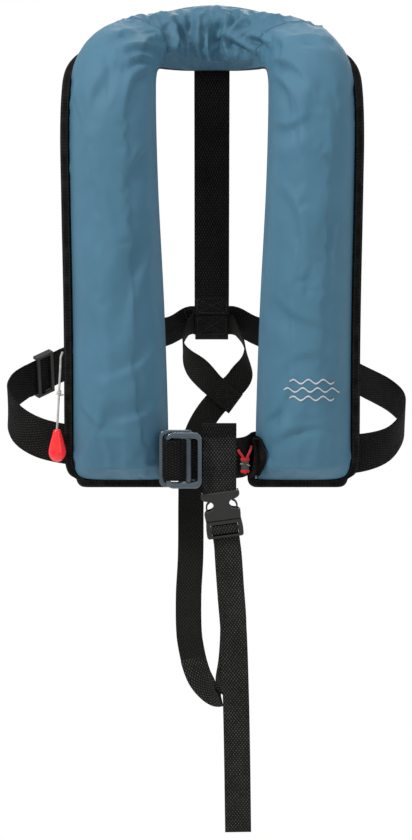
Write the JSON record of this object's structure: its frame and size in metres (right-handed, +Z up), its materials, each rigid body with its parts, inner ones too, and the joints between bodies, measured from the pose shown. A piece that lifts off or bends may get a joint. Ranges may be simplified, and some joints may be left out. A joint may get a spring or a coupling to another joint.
{
  "type": "inflatable life jacket",
  "caption": "Horseshoe-shaped automatic inflatable life jacket with cloth covers, harness belt, steel buckle, crotch strap with clip and a pull-cord gas inflator inside.",
  "frame": {"origin": "middle of the collar's inner lower edge, where the collar lies on the nape of the neck", "axes": "+X to the right of someone facing the jacket, +Y from that person through the jacket towards the wearer's back, +Z up"},
  "size_m": [0.4508, 0.2589, 0.9127],
  "materials": {
    "cover_fabric": "satin",
    "lining_fabric": "matte",
    "binding_tape": "matte",
    "closure_tape": "matte",
    "webbing": "satin",
    "bladder_fabric": "satin",
    "steel": "polished",
    "cylinder_steel": "satin",
    "gasket_rubber": "matte",
    "black_plastic": "satin",
    "inflator_plastic": "satin",
    "green_plastic": "satin",
    "orange_plastic": "satin",
    "red_plastic": "gloss",
    "pressed_salt": "matte",
    "white_cord": "matte",
    "red_cord": "matte"
  },
  "bodies": {
    "jacket": {"left_front_cover": "cover_fabric", "right_front_cover": "cover_fabric", "neck_cover": "cover_fabric", "left_back_panel": "lining_fabric", "right_back_panel": "lining_fabric", "neck_back_panel": "lining_fabric", "left_belt_tunnel": "lining_fabric", "right_belt_tunnel": "lining_fabric", "left_binding": "binding_tape", "right_binding": "binding_tape", "right_corner_patch": "binding_tape", "left_hook_tape": "closure_tape", "left_loop_tape": "closure_tape", "right_hook_tape": "closure_tape", "right_loop_tape": "closure_tape", "bladder": "bladder_fabric", "inflator_head": "inflator_plastic", "cylinder_gasket": "gasket_rubber", "lever_pin": "steel", "lever_clip": "green_plastic", "auto_cap": "black_plastic", "water_bobbin": "pressed_salt", "hammer_spring": "steel", "hammer_pin": "steel", "bladder_manifold": "black_plastic", "manifold_nut": "black_plastic", "inner_cord": "white_cord", "oral_tube_flange": "black_plastic", "oral_tube": "bladder_fabric", "oral_valve_body": "orange_plastic", "whistle": "orange_plastic", "whistle_lanyard": "white_cord", "left_belt": "webbing", "right_belt": "webbing", "back_strap": "webbing", "back_loop": "webbing", "hanger_loop": "webbing", "clip_socket": "black_plastic", "crotch_strap_back": "webbing", "soft_loop_cord": "red_cord", "soft_loop_sleeve": "black_plastic", "soft_loop_thread": "white_cord"},
    "handle": {"pull_cord": "white_cord", "pull_cord_knot": "white_cord", "pull_handle": "red_plastic"},
    "lever": {"firing_lever": "inflator_plastic"},
    "pin": {"firing_pin": "steel"},
    "cylinder": {"gas_cylinder": "cylinder_steel"},
    "plug": {"clip_base": "black_plastic", "crotch_strap_front": "webbing"},
    "prong_left": {"left_prong": "black_plastic"},
    "prong_right": {"right_prong": "black_plastic"},
    "ring": {"buckle_ring": "steel"},
    "slide": {"slide_buckle": "steel", "knurled_bar": "steel"},
    "adjuster": {"side_adjuster": "black_plastic"},
    "cap": {"dust_cap": "orange_plastic"},
    "poppet": {"valve_poppet": "black_plastic"}
  },
  "joints": [
    {"name": "handle_pull", "type": "slide", "parent": "jacket", "child": "handle", "axis": [-0.075, -0.1605, -0.9842], "range_m": [0, 0.016]},
    {"name": "lever_turn", "type": "hinge", "parent": "jacket", "child": "lever", "pos_m": [-0.117, -0.1425, -0.304], "axis": [0, 1, 0], "range_deg": [-48.5, 0]},
    {"name": "pin_strike", "type": "slide", "parent": "jacket", "child": "pin", "axis": [0, 0, 1], "range_m": [0, 0.003]},
    {"name": "cylinder_turn", "type": "hinge", "parent": "jacket", "child": "cylinder", "pos_m": [-0.097, -0.1425, -0.29], "axis": [0, 0, 1], "continuous": true},
    {"name": "clip_release", "type": "slide", "parent": "jacket", "child": "plug", "axis": [0.1357, 0, -0.9907], "range_m": [0, 0.03]},
    {"name": "left_prong_flex", "type": "hinge", "parent": "plug", "child": "prong_left", "pos_m": [-0.001, -0.146, -0.4865], "axis": [0, 1, 0], "range_deg": [0, 7], "stiffness_Nm_per_rad": 0.6},
    {"name": "right_prong_flex", "type": "hinge", "parent": "plug", "child": "prong_right", "pos_m": [0.026, -0.146, -0.4828], "axis": [0, 1, 0], "range_deg": [-7, 0], "stiffness_Nm_per_rad": 0.6},
    {"name": "ring_swing", "type": "hinge", "parent": "jacket", "child": "ring", "pos_m": [-0.02145, -0.15, -0.416], "axis": [0, 0, 1], "range_deg": [-10, 3]},
    {"name": "slide_swing", "type": "hinge", "parent": "jacket", "child": "slide", "pos_m": [-0.04825, -0.1584, -0.416], "axis": [0, 0, 1], "range_deg": [-8, 2]},
    {"name": "adjuster_slide", "type": "slide", "parent": "jacket", "child": "adjuster", "axis": [0.7193, 0.6436, 0.2613], "range_m": [-0.006, 0.006]},
    {"name": "dust_cap_lift", "type": "slide", "parent": "jacket", "child": "cap", "axis": [0, 0, 1], "range_m": [0, 0.012]},
    {"name": "valve_press", "type": "slide", "parent": "jacket", "child": "poppet", "axis": [0, 0, -1], "range_m": [0, 0.003], "stiffness_N_per_m": 400}
  ],
  "couplings": [
    {"joint": "lever_turn", "follows": "handle_pull", "rad_per_m": -52.4},
    {"joint": "pin_strike", "follows": "handle_pull", "ratio": 0.1875}
  ]
}
